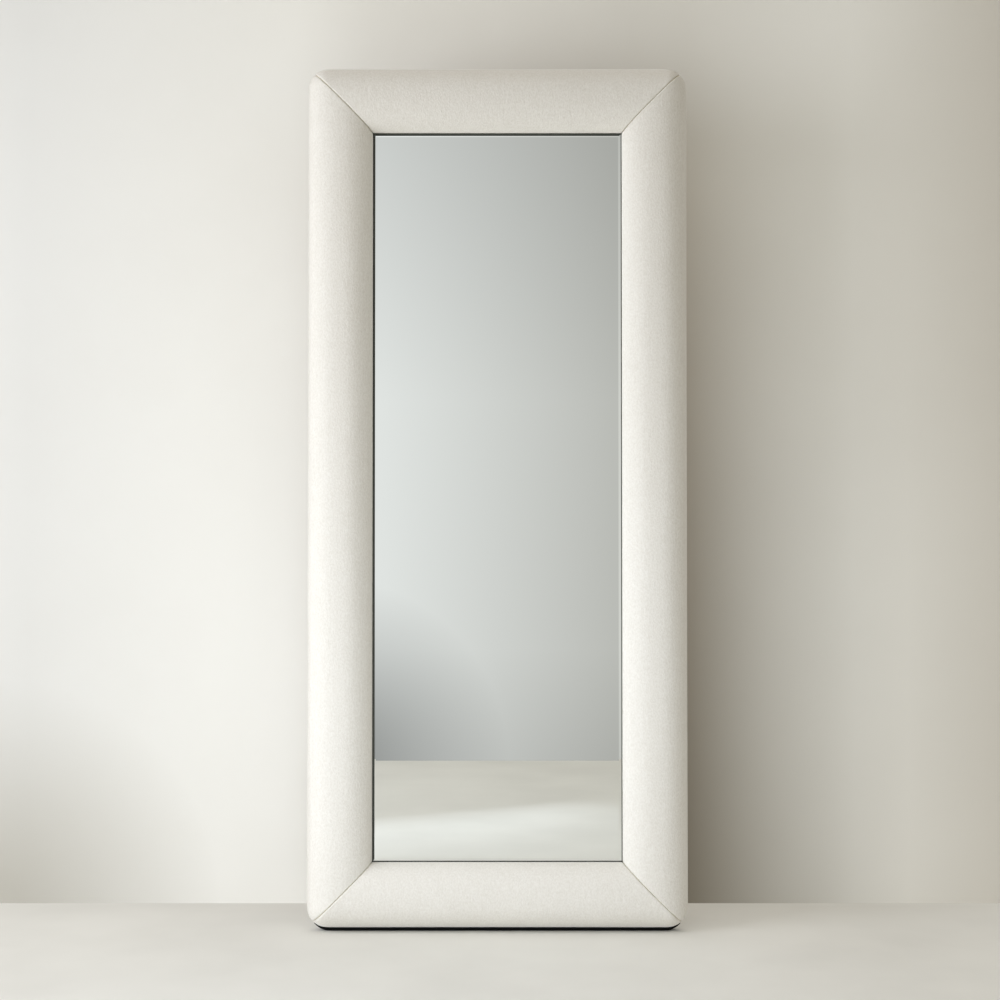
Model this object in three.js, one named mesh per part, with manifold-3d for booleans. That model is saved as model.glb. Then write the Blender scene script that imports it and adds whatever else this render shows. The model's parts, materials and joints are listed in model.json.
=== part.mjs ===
// An upholstered full-length floor mirror that leans on a wall: a mitred plywood frame, four
// half-round foam pads under a sewn cloth cover, a bevelled mirror held from behind by a board
// and turn buttons, a rubber base, two wall bumpers and two hanging rings.
// Millimetres, +Z up. The front faces -Y and the wall side +Y. The origin is the middle of the
// bounding box's underside. Left and right are as seen from the front.
import * as THREE from "three";
import { mergeVertices } from "three/addons/utils/BufferGeometryUtils.js";
import Module from "manifold-3d";

const wasm = await Module();
wasm.setup();

// Overall size.
const WIDTH = 795;
const HEIGHT = 1803;
const DEPTH = 70;
const GAP = 0.3; // left between pieces that touch

// The padded border. "Inset" is measured inwards from the outer edge, and "rise" forwards from
// the plane of the bumpers' backs, which is the rearmost plane.
const BORDER = 138; // inset of the sight edge
const CORNER_RADIUS = 44;
const BASE_HEIGHT = 7; // how far the rubber base lifts the padding off the floor
const BODY_HEIGHT = HEIGHT - BASE_HEIGHT;
const BODY_MIDDLE_Z = BASE_HEIGHT + BODY_HEIGHT / 2;
const CLOTH = 2; // cover with its wadding
const SHOULDER_RISE = 12; // where the sides turn into the rounded front
const ROUNDNESS = 2.3; // exponent of the rounded front: 2 is an ellipse, more is squarer
const CROWN_HEIGHT = DEPTH - SHOULDER_RISE;
const CROWN_STEPS = 14;

// The wooden frame.
const WOOD_OUTER = 8;
const WOOD_BACK = 9;
const WOOD_THICK = 25;
const REBATE_INSET = 123.5;
const REBATE_DEPTH = 18.6;
const LIP_REAR = WOOD_BACK + REBATE_DEPTH;
const WOOD_FRONT = WOOD_BACK + WOOD_THICK;
const LIP_INSET = 134.7; // inset of the lip over the glass
const LIP_SLOPE = 2.4; // how much the lip's front edge stands back from it

// The cloth's turned-in edges.
const REAR_RETURN = 38; // inset of the raw edge on the back of the wood
const BED_INSET = 126; // inset of the raw edge under the lip, which beds the glass
const REAR_ROUND = 5;
const SIGHT_ROUND = 3;
const CLOTH_REAR = WOOD_BACK - GAP - CLOTH;
const BED_REAR = LIP_REAR - GAP - CLOTH;
const SIGHT_RISE = BED_REAR + SIGHT_ROUND; // where the rounded front ends on the sight side
const SIGHT_SHARE = (1 - ((SIGHT_RISE - SHOULDER_RISE) / CROWN_HEIGHT) ** ROUNDNESS) ** (1 / ROUNDNESS);
const CROWN_HALF_WIDTH = BORDER / (1 + SIGHT_SHARE);

// Glass, film and board, from front to back.
const GLASS_INSET = 125;
const GLASS_THICK = 5;
const GLASS_FRONT = BED_REAR - GAP;
const BEVEL_WIDTH = 19;
const BEVEL_DROP = 1.2;
const FILM_INSET = 127;
const FILM_THICK = 0.4;
const FILM_FRONT = GLASS_FRONT - GLASS_THICK - GAP;
const BOARD_INSET = 124.3;
const BOARD_THICK = 10;
const BOARD_FRONT = FILM_FRONT - FILM_THICK - GAP;
const BOARD_BACK = BOARD_FRONT - BOARD_THICK;

// Back finishing and hardware.
const DUST_OUTER = 14;
const DUST_INNER = 76;
const DUST_THICK = 0.8;
const DUST_STEP = 43; // inset by which the dust cover is down on the wood
const PLATE_INSET = 98;
const PLATE_WIDTH = 18;
const PLATE_LEG = 70;
const PLATE_THICK = 2;
const PLATE_HOLES = [30, 58]; // along each leg, from the plate's outer corner
const SCREW_RADIUS = 2;
const HOLE_RADIUS = SCREW_RADIUS + GAP;
const PILOT_RADIUS = HOLE_RADIUS + 0.1;
const SCREW_LENGTH = 18;
const SCREW_HEAD_RADIUS = 4;
const SCREW_HEAD_HEIGHT = 2.3;
const HANGER_INSET = 100;
const HANGER_Z = 1390; // height of the ring's axis
const STRAP_WIDTH = 16;
const STRAP_LENGTH = 46;
const STRAP_THICK = 1.5;
const STRAP_HOLES = [26, 39]; // below the ring's axis
const KNUCKLE_RADIUS = 3.6;
const KNUCKLE_LENGTH = 12;
const KNUCKLE_BORE = 2.1;
const RING_WIRE = 1.7; // radius
const RING_HALF_WIDTH = 10.3;
const RING_LEG = 6;
const BUTTON_INSET = 110;
const BUTTON_HEIGHTS = { low: -600, middle: 0, high: 600 }; // from the body's middle
const BUTTON_REACH = 30;
const BUTTON_WIDTH = 14;
const BUTTON_THICK = 1.5;
const BUMPER_INSET = 60;
const BUMPER_RADIUS = 11;
const LIP_HALF_LENGTH = 340;
const BASE_BACK = 2;
const BASE_FRONT = 22;
const BASE_LIP_HEIGHT = 34;
const SOLE_WRAP = 38; // degrees that the sole's ends follow the round corners
const SOLE_STEPS = 5;
const SOLE_TIP = 0.7; // thickness left at the sole's ends

const MITRE_GAP = 0.2; // pulled off each mitred end, along the piece
const CORNER_STEPS = 3;
const CORNER_EASE = 8; // straight run over which the corner steps are spread past the radius

const matte = (color, roughness, metalness = 0) =>
  new THREE.MeshStandardMaterial({ color, roughness, metalness });
const MATERIALS = {
  cloth: matte(0xeeeae2, 0.95),
  foam: matte(0xf1e3b8, 0.9),
  plywood: matte(0xd9bd8c, 0.6),
  mirror: matte(0xdfe6e0, 0.02, 1),
  film: matte(0xc9ced2, 0.35),
  board: matte(0x9a7550, 0.75),
  blackCloth: matte(0x1c1c1d, 0.95),
  rubber: matte(0x141414, 0.8),
  zinc: matte(0xbfc1c4, 0.35, 1),
};

// A height in "rise" as a Y coordinate.
const riseToY = (rise) => DEPTH / 2 - rise;

// A closed three.js geometry as a manifold-3d solid.
function solidOf(geometry) {
  const bare = geometry.index ? geometry.toNonIndexed() : geometry.clone();
  bare.deleteAttribute("normal");
  bare.deleteAttribute("uv");
  const merged = mergeVertices(bare, 1e-3);
  return new wasm.Manifold(
    new wasm.Mesh({
      numProp: 3,
      vertProperties: merged.attributes.position.array,
      triVerts: new Uint32Array(merged.index.array),
    }),
  );
}

function geometryOf(solid) {
  const { vertProperties, triVerts } = solid.getMesh();
  return new THREE.BufferGeometry()
    .setAttribute("position", new THREE.BufferAttribute(vertProperties, 3))
    .setIndex(new THREE.BufferAttribute(triVerts, 1));
}

const model = new THREE.Group();

function addMesh(name, geometry, material, parent = model) {
  const mesh = new THREE.Mesh(geometry, material);
  mesh.name = name;
  parent.add(mesh);
  return mesh;
}

// The four sides: the turn about Y that brings a piece lying along the bottom to its side, the
// length of the side, and how far its outer edge is from the middle of the body.
const SIDES = {
  bottom: { turn: 0, run: WIDTH, reach: BODY_HEIGHT / 2 },
  right: { turn: -Math.PI / 2, run: BODY_HEIGHT, reach: WIDTH / 2 },
  top: { turn: Math.PI, run: WIDTH, reach: BODY_HEIGHT / 2 },
  left: { turn: Math.PI / 2, run: BODY_HEIGHT, reach: WIDTH / 2 },
};

// One mitred piece of the border with the given section, drawn with x as the inset and y as the
// rise. Outside the corner radius the ends follow the rounded corner up to the mitre, and inside
// it they run straight to the mitre.
function borderPiece(section, side, gap = MITRE_GAP) {
  const { turn, run, reach } = SIDES[side];
  const steps = 2 * CORNER_STEPS + 1;
  const piece = new THREE.ExtrudeGeometry(section, { depth: 1, steps, bevelEnabled: false });
  const position = piece.getAttribute("position");
  for (let i = 0; i < position.count; i++) {
    const inset = position.getX(i);
    const step = Math.round(position.getZ(i) * steps);
    const nearStart = step <= CORNER_STEPS;
    const share = (nearStart ? step : steps - step) / CORNER_STEPS;
    const angle = (Math.PI / 4) * (1 - share);
    const radius = CORNER_RADIUS - inset;
    const along = radius > 0 ? CORNER_RADIUS - radius * Math.sin(angle) : inset + CORNER_EASE * share;
    const across = radius > 0 ? CORNER_RADIUS - radius * Math.cos(angle) : inset;
    const fromMiddle = run / 2 - along - gap;
    position.setXYZ(i, nearStart ? -fromMiddle : fromMiddle, riseToY(position.getY(i)), across - reach);
  }
  piece.rotateY(turn);
  piece.translate(0, 0, BODY_MIDDLE_Z);
  return piece;
}

// The rounded front of the padding, taken in by `inwards` from the cloth's outer face: points
// from the outer side over the crown, down to the rise `end` on the sight side.
function crownPoints(inwards, end = SIGHT_RISE) {
  const halfWidth = CROWN_HALF_WIDTH - inwards;
  const height = CROWN_HEIGHT - inwards;
  const power = 2 / ROUNDNESS;
  const last = Math.PI - Math.asin(((end - SHOULDER_RISE) / height) ** (1 / power));
  return Array.from({ length: CROWN_STEPS + 1 }, (_, i) => {
    const angle = (last * i) / CROWN_STEPS;
    const cosine = Math.cos(angle);
    const across = Math.sign(cosine) * Math.abs(cosine) ** power;
    const up = Math.sin(angle) ** power;
    return new THREE.Vector2(CROWN_HALF_WIDTH - halfWidth * across, SHOULDER_RISE + height * up);
  });
}

// Points of a quarter circle of `radius` about (x, y), from one angle to the other, in degrees.
function quarterRound(x, y, radius, from, to, steps = 3) {
  return Array.from({ length: steps + 1 }, (_, i) => {
    const angle = THREE.MathUtils.degToRad(from + ((to - from) * i) / steps);
    return new THREE.Vector2(x + radius * Math.cos(angle), y + radius * Math.sin(angle));
  });
}

// The cloth: stapled to the back of the wood, up the outer side, over the crown, down the sight
// side and under the lip. Its outer face and then its inner face.
function clothSection() {
  const rearRound = (inwards) =>
    quarterRound(REAR_ROUND, CLOTH_REAR + REAR_ROUND, REAR_ROUND - inwards, 270, 180);
  const sightRound = (inwards) =>
    quarterRound(BORDER - SIGHT_ROUND, BED_REAR + SIGHT_ROUND, SIGHT_ROUND - inwards, 0, -90);
  const outer = [
    new THREE.Vector2(REAR_RETURN, CLOTH_REAR),
    ...rearRound(0),
    ...crownPoints(0),
    ...sightRound(0),
    new THREE.Vector2(BED_INSET, BED_REAR),
  ];
  const inner = [
    new THREE.Vector2(REAR_RETURN, CLOTH_REAR + CLOTH),
    ...rearRound(CLOTH),
    ...crownPoints(CLOTH),
    ...sightRound(CLOTH),
    new THREE.Vector2(BED_INSET, BED_REAR + CLOTH),
  ];
  return new THREE.Shape([...outer, ...inner.reverse()]);
}

// The foam: a half-round on the front of the wood, with a thin flap down its outer side.
function foamSection() {
  return new THREE.Shape([
    ...crownPoints(CLOTH + 2 * GAP, WOOD_FRONT + GAP),
    new THREE.Vector2(WOOD_OUTER - GAP, WOOD_FRONT + GAP),
    new THREE.Vector2(WOOD_OUTER - GAP, SHOULDER_RISE),
  ]);
}

// The plywood: a flat rail with a rebate that takes the glass and its board from behind.
function woodSection() {
  return new THREE.Shape([
    new THREE.Vector2(WOOD_OUTER, WOOD_BACK),
    new THREE.Vector2(WOOD_OUTER, WOOD_FRONT),
    new THREE.Vector2(LIP_INSET - LIP_SLOPE, WOOD_FRONT),
    new THREE.Vector2(LIP_INSET, LIP_REAR + SIGHT_ROUND),
    new THREE.Vector2(LIP_INSET - SIGHT_ROUND, LIP_REAR),
    new THREE.Vector2(REBATE_INSET, LIP_REAR),
    new THREE.Vector2(REBATE_INSET, WOOD_BACK),
  ]);
}

// The dust cover: over the cloth's raw edge, then down on the wood.
function dustSection() {
  const high = CLOTH_REAR - GAP;
  const low = WOOD_BACK - GAP;
  return new THREE.Shape([
    new THREE.Vector2(DUST_OUTER, high),
    new THREE.Vector2(REAR_RETURN + GAP, high),
    new THREE.Vector2(DUST_STEP, low),
    new THREE.Vector2(DUST_INNER, low),
    new THREE.Vector2(DUST_INNER, low - DUST_THICK),
    new THREE.Vector2(DUST_STEP, low - DUST_THICK),
    new THREE.Vector2(REAR_RETURN + GAP, high - DUST_THICK),
    new THREE.Vector2(DUST_OUTER, high - DUST_THICK),
  ]);
}

// A flat piece drawn in X and Z, with its rear face at `rise`, reaching forwards by `thick`.
function flatPiece(shape, rise, thick, curveSegments = 4) {
  return new THREE.ExtrudeGeometry(shape, { depth: thick, bevelEnabled: false, curveSegments })
    .rotateX(Math.PI / 2)
    .translate(0, riseToY(rise), 0);
}

function hole(x, y, radius = HOLE_RADIUS) {
  return new THREE.Path().absarc(x, y, radius, 0, 2 * Math.PI, true);
}

// A pan-head wood screw with its head's underside at the origin and its point towards the front.
function screwGeometry() {
  const point = 4;
  return new THREE.LatheGeometry(
    [
      new THREE.Vector2(0, -SCREW_LENGTH),
      new THREE.Vector2(SCREW_RADIUS, point - SCREW_LENGTH),
      new THREE.Vector2(SCREW_RADIUS, 0),
      new THREE.Vector2(SCREW_HEAD_RADIUS, 0),
      new THREE.Vector2(SCREW_HEAD_RADIUS, 1),
      new THREE.Vector2(SCREW_HEAD_RADIUS * 0.7, 2),
      new THREE.Vector2(0, SCREW_HEAD_HEIGHT),
    ],
    10,
  );
}

// Every screw, with where it stands and the rise of the face under its head.
const screws = [];
const leftRight = { left: -1, right: 1 };
const bottomTop = { bottom: -1, top: 1 };
const edgeX = (way, inset) => way * (WIDTH / 2 - inset);
const edgeZ = (way, inset) => BODY_MIDDLE_Z + way * (BODY_HEIGHT / 2 - inset);

const plateRear = WOOD_BACK - GAP - PLATE_THICK;
for (const [low, down] of Object.entries(bottomTop)) {
  for (const [hand, way] of Object.entries(leftRight)) {
    PLATE_HOLES.forEach((along, i) => {
      const middle = PLATE_INSET + PLATE_WIDTH / 2;
      const far = PLATE_INSET + along;
      const name = `plate_screw_${low}_${hand}`;
      screws.push({ name: `${name}_${i + 1}`, x: edgeX(way, middle), z: edgeZ(down, far), rise: plateRear });
      screws.push({ name: `${name}_${i + 3}`, x: edgeX(way, far), z: edgeZ(down, middle), rise: plateRear });
    });
  }
}
const strapRear = WOOD_BACK - GAP - STRAP_THICK;
const buttonFront = BOARD_BACK - GAP;
const buttonRear = buttonFront - BUTTON_THICK;
for (const [hand, way] of Object.entries(leftRight)) {
  STRAP_HOLES.forEach((below, i) => {
    const name = `hanger_screw_${hand}_${i + 1}`;
    screws.push({ name, x: edgeX(way, HANGER_INSET), z: HANGER_Z - below, rise: strapRear });
  });
  for (const [level, up] of Object.entries(BUTTON_HEIGHTS)) {
    const name = `button_screw_${hand}_${level}`;
    screws.push({ name, x: edgeX(way, BUTTON_INSET), z: BODY_MIDDLE_Z + up, rise: buttonRear });
  }
}

// Wooden frame, foam and cover.
function drilled(solid) {
  const depth = SCREW_LENGTH + GAP;
  for (const { x, z, rise } of screws) {
    const bit = new THREE.CylinderGeometry(PILOT_RADIUS, PILOT_RADIUS, depth, 10);
    bit.translate(x, riseToY(rise + GAP) - depth / 2, z);
    solid = solid.subtract(solidOf(bit));
  }
  return solid;
}
for (const side of Object.keys(SIDES)) {
  const wood = drilled(solidOf(borderPiece(woodSection(), side)));
  const part = side === "left" || side === "right" ? "stile" : "rail";
  addMesh(`wood_${part}_${side}`, geometryOf(wood), MATERIALS.plywood);
  addMesh(`foam_pad_${side}`, borderPiece(foamSection(), side), MATERIALS.foam);
  addMesh(`fabric_cover_${side}`, borderPiece(clothSection(), side), MATERIALS.cloth);
}
const dustCover = Object.keys(SIDES)
  .map((side) => solidOf(borderPiece(dustSection(), side, 0)))
  .reduce((whole, part) => whole.add(part));
addMesh("dust_cover", geometryOf(dustCover), MATERIALS.blackCloth);

// Mirror, film and board. The glass is a plate with its front edges bevelled.
function plate(inset, front, thick) {
  const size = [WIDTH - 2 * inset, thick, BODY_HEIGHT - 2 * inset];
  return new THREE.BoxGeometry(...size).translate(0, riseToY(front - thick / 2), BODY_MIDDLE_Z);
}
function bevelledGlass() {
  const glass = plate(GLASS_INSET, GLASS_FRONT, GLASS_THICK);
  const front = plate(GLASS_INSET, GLASS_FRONT, BEVEL_DROP);
  const position = front.getAttribute("position");
  for (let i = 0; i < position.count; i++) {
    if (position.getY(i) > riseToY(GLASS_FRONT - BEVEL_DROP / 2)) continue;
    const x = position.getX(i);
    const z = position.getZ(i);
    const inZ = Math.sign(z - BODY_MIDDLE_Z) * BEVEL_WIDTH;
    position.setXYZ(i, x - Math.sign(x) * BEVEL_WIDTH, position.getY(i), z - inZ);
  }
  const rear = plate(GLASS_INSET, GLASS_FRONT - BEVEL_DROP, GLASS_THICK - BEVEL_DROP);
  return solidOf(glass).intersect(solidOf(front).add(solidOf(rear)));
}
addMesh("mirror_glass", geometryOf(bevelledGlass()), MATERIALS.mirror);
addMesh("safety_film", plate(FILM_INSET, FILM_FRONT, FILM_THICK), MATERIALS.film);
addMesh("backing_board", plate(BOARD_INSET, BOARD_FRONT, BOARD_THICK), MATERIALS.board);

// Rubber base: a sole under the bottom rail that thins out round the lower corners, with a lip
// up its back.
function soleShape() {
  const middleX = WIDTH / 2 - CORNER_RADIUS;
  const middleZ = BASE_HEIGHT + CORNER_RADIUS;
  const inner = CORNER_RADIUS + GAP;
  const corner = (way, share, radius) => {
    const angle = THREE.MathUtils.degToRad(SOLE_WRAP) * share;
    return new THREE.Vector2(way * (middleX + radius * Math.sin(angle)), middleZ - radius * Math.cos(angle));
  };
  const shares = Array.from({ length: SOLE_STEPS + 1 }, (_, i) => i / SOLE_STEPS);
  const outerRadius = (share) => inner + SOLE_TIP + (BASE_HEIGHT - GAP - SOLE_TIP) * (1 - share);
  const outerEnd = (way) => shares.map((share) => corner(way, share, outerRadius(share)));
  const innerEnd = (way) => shares.map((share) => corner(way, share, inner)).reverse();
  return new THREE.Shape([
    ...outerEnd(1),
    ...innerEnd(1),
    ...innerEnd(-1).reverse(),
    ...outerEnd(-1).reverse(),
  ]);
}
const sole = flatPiece(soleShape(), BASE_BACK, BASE_FRONT - BASE_BACK);
const lipDepth = CLOTH_REAR - DUST_THICK - 2 * GAP - BASE_BACK;
const lip = new THREE.BoxGeometry(2 * LIP_HALF_LENGTH, lipDepth, BASE_LIP_HEIGHT).translate(
  0,
  riseToY(BASE_BACK + lipDepth / 2),
  BASE_LIP_HEIGHT / 2,
);
addMesh("base_strip", geometryOf(solidOf(sole).add(solidOf(lip))), MATERIALS.rubber);

// Flat corner plates across the mitres.
function cornerPlate() {
  const half = PLATE_WIDTH / 2;
  const shape = new THREE.Shape()
    .moveTo(0, 0)
    .lineTo(PLATE_LEG - half, 0)
    .absarc(PLATE_LEG - half, half, half, -Math.PI / 2, Math.PI / 2)
    .lineTo(PLATE_WIDTH, PLATE_WIDTH)
    .lineTo(PLATE_WIDTH, PLATE_LEG - half)
    .absarc(half, PLATE_LEG - half, half, 0, Math.PI);
  shape.holes = PLATE_HOLES.flatMap((along) => [hole(along, half), hole(half, along)]);
  return flatPiece(shape, plateRear, PLATE_THICK);
}
const PLATE_TURNS = { bottom_left: 0, bottom_right: -90, top_right: 180, top_left: 90 };
for (const [low, down] of Object.entries(bottomTop)) {
  for (const [hand, way] of Object.entries(leftRight)) {
    const corner = `${low}_${hand}`;
    const mesh = addMesh(`corner_plate_${corner}`, cornerPlate(), MATERIALS.zinc);
    mesh.rotation.y = THREE.MathUtils.degToRad(PLATE_TURNS[corner]);
    mesh.position.set(edgeX(way, PLATE_INSET), 0, edgeZ(down, PLATE_INSET));
  }
}

// Hangers: a strap with a rolled knuckle, and a D-shaped ring that hangs in it.
const ringAxisRise = WOOD_BACK - GAP - KNUCKLE_RADIUS;
function alongX(radius, length, segments) {
  return new THREE.CylinderGeometry(radius, radius, length, segments).rotateZ(Math.PI / 2);
}
function hangerStrap() {
  const half = STRAP_WIDTH / 2;
  const shape = new THREE.Shape()
    .moveTo(half, 0)
    .lineTo(-half, 0)
    .lineTo(-half, half - STRAP_LENGTH)
    .absarc(0, half - STRAP_LENGTH, half, Math.PI, 2 * Math.PI);
  shape.holes = STRAP_HOLES.map((below) => hole(0, -below));
  const leaf = flatPiece(shape, strapRear, STRAP_THICK).translate(0, -riseToY(ringAxisRise), 0);
  const knuckle = alongX(KNUCKLE_RADIUS, KNUCKLE_LENGTH, 20);
  const bore = alongX(KNUCKLE_BORE, STRAP_WIDTH + 2, 16);
  return geometryOf(solidOf(leaf).add(solidOf(knuckle)).subtract(solidOf(bore)));
}
function hangerRing() {
  const bend = new THREE.CurvePath();
  const left = new THREE.Vector3(-RING_HALF_WIDTH, 0, 0);
  const right = new THREE.Vector3(RING_HALF_WIDTH, 0, 0);
  const lowLeft = new THREE.Vector3(-RING_HALF_WIDTH, 0, -RING_LEG);
  const lowRight = new THREE.Vector3(RING_HALF_WIDTH, 0, -RING_LEG);
  class LowerHalf extends THREE.Curve {
    getPoint(share, target = new THREE.Vector3()) {
      const angle = Math.PI * (1 + share);
      const down = RING_HALF_WIDTH * Math.sin(angle) - RING_LEG;
      return target.set(RING_HALF_WIDTH * Math.cos(angle), 0, down);
    }
  }
  bend.add(new THREE.LineCurve3(left, lowLeft));
  bend.add(new LowerHalf());
  bend.add(new THREE.LineCurve3(lowRight, right));
  const wire = new THREE.Shape().absarc(0, 0, RING_WIRE, 0, 2 * Math.PI);
  const loop = new THREE.ExtrudeGeometry(wire, { steps: 22, extrudePath: bend, curveSegments: 4 });
  const bar = alongX(RING_WIRE, 2 * (RING_HALF_WIDTH + RING_WIRE * 0.6), 12);
  return geometryOf(solidOf(loop).add(solidOf(bar)));
}
for (const [hand, way] of Object.entries(leftRight)) {
  const hanger = new THREE.Group();
  hanger.position.set(edgeX(way, HANGER_INSET), riseToY(ringAxisRise), HANGER_Z);
  addMesh(`hanger_strap_${hand}`, hangerStrap(), MATERIALS.zinc, hanger);
  addMesh(`hanger_ring_${hand}`, hangerRing(), MATERIALS.zinc, hanger);
  model.add(hanger);
}

// Turn buttons that hold the board in, each pointing over the board from its own screw.
function turnButton() {
  const half = BUTTON_WIDTH / 2;
  const tip = half * 0.7;
  const shape = new THREE.Shape()
    .moveTo(BUTTON_REACH - tip, -tip)
    .absarc(BUTTON_REACH - tip, 0, tip, -Math.PI / 2, Math.PI / 2)
    .lineTo(0, half)
    .absarc(0, 0, half, Math.PI / 2, (3 * Math.PI) / 2);
  shape.holes = [hole(0, 0)];
  return flatPiece(shape, buttonRear, BUTTON_THICK, 6);
}
for (const [hand, way] of Object.entries(leftRight)) {
  for (const [level, up] of Object.entries(BUTTON_HEIGHTS)) {
    const mesh = addMesh(`turn_button_${hand}_${level}`, turnButton(), MATERIALS.zinc);
    mesh.rotation.y = way > 0 ? Math.PI : 0;
    mesh.position.set(edgeX(way, BUTTON_INSET), 0, BODY_MIDDLE_Z + up);
  }
}

for (const { name, x, z, rise } of screws) {
  const mesh = addMesh(name, screwGeometry(), MATERIALS.zinc);
  mesh.position.set(x, riseToY(rise - GAP), z);
}

// Wall bumpers on the upper corners of the dust cover.
const bumperFront = WOOD_BACK - 2 * GAP - DUST_THICK;
const bumperShape = [
  new THREE.Vector2(0, 0),
  new THREE.Vector2(BUMPER_RADIUS, 0),
  new THREE.Vector2(BUMPER_RADIUS, bumperFront * 0.6),
  new THREE.Vector2(BUMPER_RADIUS - 3, bumperFront),
  new THREE.Vector2(0, bumperFront),
];
for (const [hand, way] of Object.entries(leftRight)) {
  const bumper = addMesh(`wall_bumper_${hand}`, new THREE.LatheGeometry(bumperShape, 24), MATERIALS.rubber);
  bumper.position.set(edgeX(way, BUMPER_INSET), riseToY(bumperFront), edgeZ(1, BUMPER_INSET));
}

export default model;
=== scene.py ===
"""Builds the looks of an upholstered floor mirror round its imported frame.

Run as a script, it makes every piece and the stage. Lengths are in metres, +Z is up, the front
faces -Y and the wall side +Y. "Inset" is measured inwards from the border's outer edge, and
"rise" forwards from the rearmost plane of the mirror.
"""

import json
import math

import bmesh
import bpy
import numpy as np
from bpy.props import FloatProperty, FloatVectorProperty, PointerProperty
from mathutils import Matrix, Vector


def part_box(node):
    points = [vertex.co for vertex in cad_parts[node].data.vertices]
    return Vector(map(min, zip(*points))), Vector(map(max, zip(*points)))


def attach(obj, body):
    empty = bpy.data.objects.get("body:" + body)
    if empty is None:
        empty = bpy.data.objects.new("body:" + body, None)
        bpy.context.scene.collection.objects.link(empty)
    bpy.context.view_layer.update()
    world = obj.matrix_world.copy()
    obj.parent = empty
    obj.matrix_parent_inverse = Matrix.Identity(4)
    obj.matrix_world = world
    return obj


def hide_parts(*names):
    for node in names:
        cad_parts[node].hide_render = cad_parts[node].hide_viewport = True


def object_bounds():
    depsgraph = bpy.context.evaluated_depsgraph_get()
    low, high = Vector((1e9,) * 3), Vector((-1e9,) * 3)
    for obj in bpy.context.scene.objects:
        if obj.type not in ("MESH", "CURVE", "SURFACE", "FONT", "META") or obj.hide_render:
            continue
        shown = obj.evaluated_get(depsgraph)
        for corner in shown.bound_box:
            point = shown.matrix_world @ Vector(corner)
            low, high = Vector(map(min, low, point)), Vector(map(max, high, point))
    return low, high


bl_info = {
    "name": "Upholstered floor mirror",
    "version": (1, 0, 0),
    "blender": (4, 5, 0),
    "location": "3D View > Sidebar > Floor mirror",
    "description": "Makes the padded border, glass, back and hardware of a leaning floor mirror",
    "category": "Add Mesh",
}

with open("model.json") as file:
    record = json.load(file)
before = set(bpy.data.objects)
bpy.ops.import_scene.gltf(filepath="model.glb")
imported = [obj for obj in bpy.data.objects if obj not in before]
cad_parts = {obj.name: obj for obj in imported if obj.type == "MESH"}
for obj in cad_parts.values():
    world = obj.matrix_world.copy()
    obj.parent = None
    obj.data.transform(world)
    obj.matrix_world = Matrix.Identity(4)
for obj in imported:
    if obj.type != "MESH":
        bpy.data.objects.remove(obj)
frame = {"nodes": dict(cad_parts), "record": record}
CAD_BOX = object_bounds()
BODY_NODES = frame["record"]["behaviour"]["bodies"]

MM = 0.001
SCREW_HEAD_RADIUS = 4 * MM
SCREW_HEAD_HEIGHT = 2.3 * MM
SCREW_SHANK_RADIUS = 2 * MM
SCREW_SHANK_LENGTH = 14 * MM
SCREW_POINT_LENGTH = 4 * MM
BODY = "mirror_body"
HANDS = {"left": -1, "right": 1}
LENS_SHIFT = (0.0027, -0.0023)

# What the frame says about the border.
COVER_LOW = Vector((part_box("fabric_cover_left")[0].x, 0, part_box("fabric_cover_bottom")[0].z))
COVER_HIGH = Vector((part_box("fabric_cover_right")[1].x, 0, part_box("fabric_cover_top")[1].z))
OUTER_WIDTH = COVER_HIGH.x - COVER_LOW.x
OUTER_HEIGHT = COVER_HIGH.z - COVER_LOW.z
MIDDLE_Z = (COVER_HIGH.z + COVER_LOW.z) / 2
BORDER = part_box("fabric_cover_left")[1].x - COVER_LOW.x
REAR_Y = CAD_BOX[1].y
CROWN_RISE = REAR_Y - CAD_BOX[0].y
WOOD_BACK = REAR_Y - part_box("wood_rail_bottom")[1].y
WOOD_FRONT = REAR_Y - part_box("wood_rail_bottom")[0].y
GLASS_FRONT = REAR_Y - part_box("mirror_glass")[0].y
COVER_REAR = REAR_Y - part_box("fabric_cover_bottom")[1].y
GAP = 0.3 * MM

# The four sides: the turn about Y that brings a piece lying along the bottom to its side, the
# side's length, and how far its outer edge is from the border's middle.
SIDES = {
    "bottom": (0.0, OUTER_WIDTH, OUTER_HEIGHT / 2),
    "right": (-math.pi / 2, OUTER_HEIGHT, OUTER_WIDTH / 2),
    "top": (math.pi, OUTER_WIDTH, OUTER_HEIGHT / 2),
    "left": (math.pi / 2, OUTER_HEIGHT, OUTER_WIDTH / 2),
}


# ---------------------------------------------------------------- settings


def length(name, description, millimetres, low=0.0):
    return FloatProperty(
        name=name, description=description, default=millimetres * MM, min=low, unit="LENGTH"
    )


def colour(name, description, code):
    return FloatVectorProperty(
        name=name, description=description, default=linear(code)[:3], subtype="COLOR", min=0, max=1
    )


def linear(code):
    """An sRGB hex colour as linear red, green, blue and alpha."""
    values = [int(code[i : i + 2], 16) / 255 for i in (1, 3, 5)]
    return tuple(v / 12.92 if v <= 0.04045 else ((v + 0.055) / 1.055) ** 2.4 for v in values) + (1.0,)


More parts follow.
